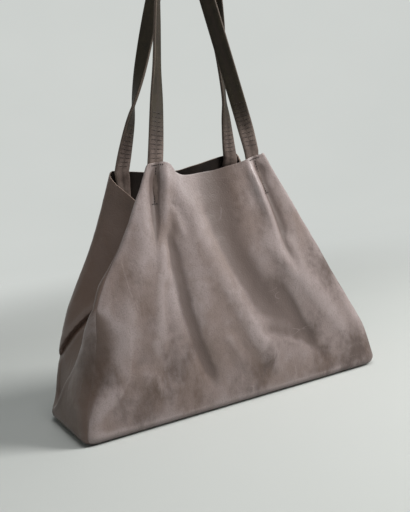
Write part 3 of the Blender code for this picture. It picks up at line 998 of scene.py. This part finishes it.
def strap_piece(back):
    """One handle and its two sewn-in ends, as one leather strap."""
    name = "back_handle" if back else "front_handle"
    loop = loop_frames(back)
    lengthwise = zip(sewn_end(back, -1, loop[0][0]), loop, sewn_end(back, 1, loop[0][-1]))
    middle, width, face = (np.concatenate(parts) for parts in lengthwise)
    length = arc_length(middle)
    across, through = strap_section()
    edit = bmesh.new()
    bmesh.ops.create_grid(edit, x_segments=strap_spokes, y_segments=len(middle) - 1, size=0.5)
    shares = np.array([vert.co[:2] for vert in edit.verts]) + 0.5
    ring = np.round(shares[:, 1] * (len(middle) - 1)).astype(int)
    spoke = np.round(shares[:, 0] * strap_spokes).astype(int) % strap_spokes
    from_root = np.minimum(np.abs(length - strap_end_length), np.abs(length[-1] - strap_end_length - length))
    stitched = 1 - ramp(from_root, 0.055, 0.085)
    a = across[spoke] * strap_width / 2
    b = through[spoke] * strap_thickness / 2
    seam_side = b > 0
    groove = hump(a, 0.0008) * seam_side * meeting_depth
    pucker = np.abs(np.sin(length[ring] / stitch_pitch * math.pi)) ** 2 * stitched[ring] * pucker_rise
    pucker = pucker * seam_side * ramp(strap_width / 2 - np.abs(a), 0.0005, 0.002)
    b = b - groove + pucker
    spots = middle[ring] + width[ring] * a[:, None] + face[ring] * b[:, None]
    edge_wear = ramp(np.abs(a), strap_width / 2 - 0.0022, strap_width / 2)
    raised = 0.5 + 0.3 * edge_wear - 0.4 * hump(a, 0.0012) * (b > 0) + 0.08 * pucker / pucker_rise
    near = 1 - ramp(middle[ring][:, 2] - root_place(back)[1], 0.01, 0.07)
    place_verts(edit, spots, raised=raised, near_root=near)
    bmesh.ops.remove_doubles(edit, verts=edit.verts, dist=1e-6)
    bmesh.ops.holes_fill(edit, edges=[edge for edge in edit.edges if edge.is_boundary], sides=0)
    bmesh.ops.recalc_face_normals(edit, faces=edit.faces)
    side_names = ("back_left", "back_right") if back else ("front_left", "front_right")
    nodes = [name] + [side + "_strap_end" for side in side_names]
    piece = finished(name + "_leather", edit, [strap_leather], None, nodes)
    bend_at_root(piece)


def handle_leather():
    """The same hide, pale at the roots and olive brown up the loop, darkened partly by hands and partly as
    painted shade.
    """
    finish = Finish("handled_strap_leather")
    drift = finish.cloud(14.0, 4.0, 0.6, None, 0.6)
    mottle = finish.cloud(120.0, 4.0, 0.6)
    near = finish.attribute("near_root")
    raised = finish.attribute("raised")
    tone = drift * 0.6 + mottle * 0.4
    # The loop's dark olive brown is partly painted shade
    dark = finish.mix(tone.between(0.35, 0.65), shade(30, 25, 17), shade(50, 43, 31))
    pale = finish.mix(tone.between(0.35, 0.65), shade(84, 71, 66), shade(118, 104, 97))
    colour = finish.mix(near, dark, pale)
    colour = finish.mix((0.5 - raised).between(0.02, 0.45) * 0.6, colour, shade(48, 38, 33))
    colour = finish.mix((raised - 0.5).between(0.02, 0.4) * 0.45, colour, shade(128, 113, 104))
    pores = finish.cells(620.0, "F1")
    fine = finish.cloud(900.0, 3.0, 0.7)
    normal = finish.bump(finish.cloud(110.0, 4.0, 0.6), 0.0003, 0.3)
    normal = finish.bump(pores * -1.0 + fine * 0.6, 0.00018, 0.4, normal)
    return finish.coat(colour, 0.62 + (mottle - 0.5) * 0.16, normal, Specular_IOR_Level=0.22)


strap_leather = handle_leather()
strap_piece(False)
strap_piece(True)


# Stitching

thread_width = 0.0013
seam_thread_width = 0.0008

# A tuck's row: its first place below the edge, and how many places
tuck_row = (0.006, 14)

# A bar tack's row: how far below the tuck, its half length, and how many places
tack_row = (0.0011, 0.004, 4)

# A cross row: how far below the edge, its half length, and how many places
cross_row = (0.0035, 0.009, 8)

# The threads across a strap's meeting edges, in pairs that leave the middle free
rung_start = 0.008
rung_step = 0.006
rung_count = 11
rung_reach = (0.0008, 0.0088)
rung_lift = 0.0002


def stitch_run(name, stitches, body, nodes, width=thread_width):
    """Separate stitches: each a short drawn thread between two places, a little flat on the leather."""
    edit = bmesh.new()
    for first, last, off in stitches:
        first, last, off = Vector(first), Vector(last), Vector(off)
        along = last - first
        made = bmesh.ops.create_uvsphere(edit, u_segments=8, v_segments=6, radius=0.5)
        side = along.cross(off).normalized()
        off = side.cross(along).normalized()
        shape = Matrix((side * width, off * width * 0.8, along * 1.08)).transposed().to_4x4()
        shape.translation = (first + last) / 2
        bmesh.ops.transform(edit, matrix=shape, verts=made["verts"])
    bmesh.ops.recalc_face_normals(edit, faces=edit.faces)
    return finished(name, edit, [brown_thread], body, nodes)


def on_panel(back, x, drop, lift=0.0005):
    level = level_below(back, np.asarray(drop, float))
    around = around_at(back, np.asarray(x, float), level)
    return skin(around, level, -lift), plain_skin(around, level)[1]


def tuck_line(back, side, drop):
    root = back_root if back else front_root
    return side * (root + tuck_spread * drop / tuck_length)


def panel_stitches(back, places, drops, gap=0.3):
    """Stitches from each place to the next, with a gap between them as a share of the pitch."""
    point, normal = on_panel(back, places, drops)
    rows = []
    for n in range(len(point) - 1):
        run = point[n + 1] - point[n]
        rows.append((point[n] + run * gap / 2, point[n + 1] - run * gap / 2, normal[n]))
    return rows


def corner_stitches(corner, back, side):
    """The rows that hold one strap end: down the tuck, across its foot, and along the top edge."""
    start, count = tuck_row
    drops = np.linspace(start, tuck_length, count)
    rows = panel_stitches(back, tuck_line(back, side, drops), drops)
    stitch_run(corner + "_tuck_stitches", rows, "bag_body", [corner + "_tuck_stitching"])
    below, half_length, count = tack_row
    low = tuck_length + below
    across = tuck_line(back, side, low) + np.linspace(-half_length, half_length, count)
    rows = panel_stitches(back, across, np.full(count, low), 0.15)
    stitch_run(corner + "_bar_tack_stitches", rows, "bag_body", [corner + "_bar_tack"])
    drop, half_length, count = cross_row
    across = side * (back_root if back else front_root) + np.linspace(-half_length, half_length, count)
    rows = panel_stitches(back, across, np.full(count, drop))
    stitch_run(corner + "_cross_stitches", rows, "bag_body", [corner + "_cross_stitching"])


corner_stitches("front_left", False, -1)
corner_stitches("front_right", False, 1)
corner_stitches("back_left", True, -1)
corner_stitches("back_right", True, 1)


def strap_rungs(back, side):
    """The threads laid across the strap's meeting edges near one root."""
    handle = ("back" if back else "front") + "_handle"
    name = handle + ("_left" if side < 0 else "_right")
    path, width, face = loop_frames(back)
    if side > 0:
        path, width, face = path[::-1], width[::-1], face[::-1]
    length = arc_length(path)
    along = rung_start + rung_step * np.arange(rung_count)

    def read(values):
        return np.stack([np.interp(along, length, values[:, n]) for n in range(3)], -1)

    middle, out, up = read(path), unit(read(width)), unit(read(face))
    lift = up * (strap_thickness / 2 + rung_lift)
    rows = []
    for n in range(rung_count):
        for way in (-1, 1):
            first, last = (middle[n] + out[n] * way * reach + lift[n] for reach in rung_reach)
            rows.append((first, last, up[n]))
    piece = stitch_run(name + "_seam_stitches", rows, None, [name + "_seam_stitching"], seam_thread_width)
    bend_at_root(piece)


for back in (False, True):
    for side in (-1, 1):
        strap_rungs(back, side)


# The floor and the light all round

ground_parts = 80
ground_reach = 8.0
ground_gap = 0.0004
flat_reach = 2.0
ground_rise = 0.3


def plain_ground():
    """A pale floor that rises far behind the bag. Away from the bag it shows pale and lights nothing."""
    edit = bmesh.new()
    bmesh.ops.create_grid(edit, x_segments=ground_parts, y_segments=ground_parts, size=ground_reach)
    for vert in edit.verts:
        past_flat = max(math.hypot(vert.co.x, vert.co.y) - flat_reach, 0)
        vert.co.z = ground_rise * past_flat**2 - ground_gap
    mesh = bpy.data.meshes.new("ground")
    edit.to_mesh(mesh)
    edit.free()
    for face in mesh.polygons:
        face.use_smooth = True
    finish = Finish("pale_ground")
    patch = finish.cloud(1.2, 3.0)
    colour = finish.mix(patch, shade(202, 206, 203), shade(209, 212, 209))
    matt = finish.node("ShaderNodeBsdfDiffuse", None, {"Color": colour})
    glow = finish.node("ShaderNodeEmission", None, {"Color": colour})
    looks = ("Is Camera Ray", "Is Glossy Ray", "Is Transmission Ray")
    seen = [finish.node("ShaderNodeLightPath", output=look) for look in looks]
    distance = finish.node("ShaderNodeVectorMath", {"operation": "LENGTH"}, {0: finish.place}, 1)
    share = (seen[0] + seen[1] + seen[2]).between(0.0, 1.0) * distance.between(0.5, 1.5)
    finish.show(finish.node("ShaderNodeMixShader", None, {0: share, 1: matt, 2: glow}))
    mesh.materials.append(finish.material)
    ground = bpy.data.objects.new("ground", mesh)
    bpy.context.collection.objects.link(ground)


plain_ground()

room_white = (0.96, 0.98, 1.0, 1)
room_strength = 0.17
world = bpy.data.worlds.new("soft_room")
world.use_nodes = True
world.node_tree.nodes["Background"].inputs["Color"].default_value = room_white
world.node_tree.nodes["Background"].inputs["Strength"].default_value = room_strength
bpy.context.scene.world = world
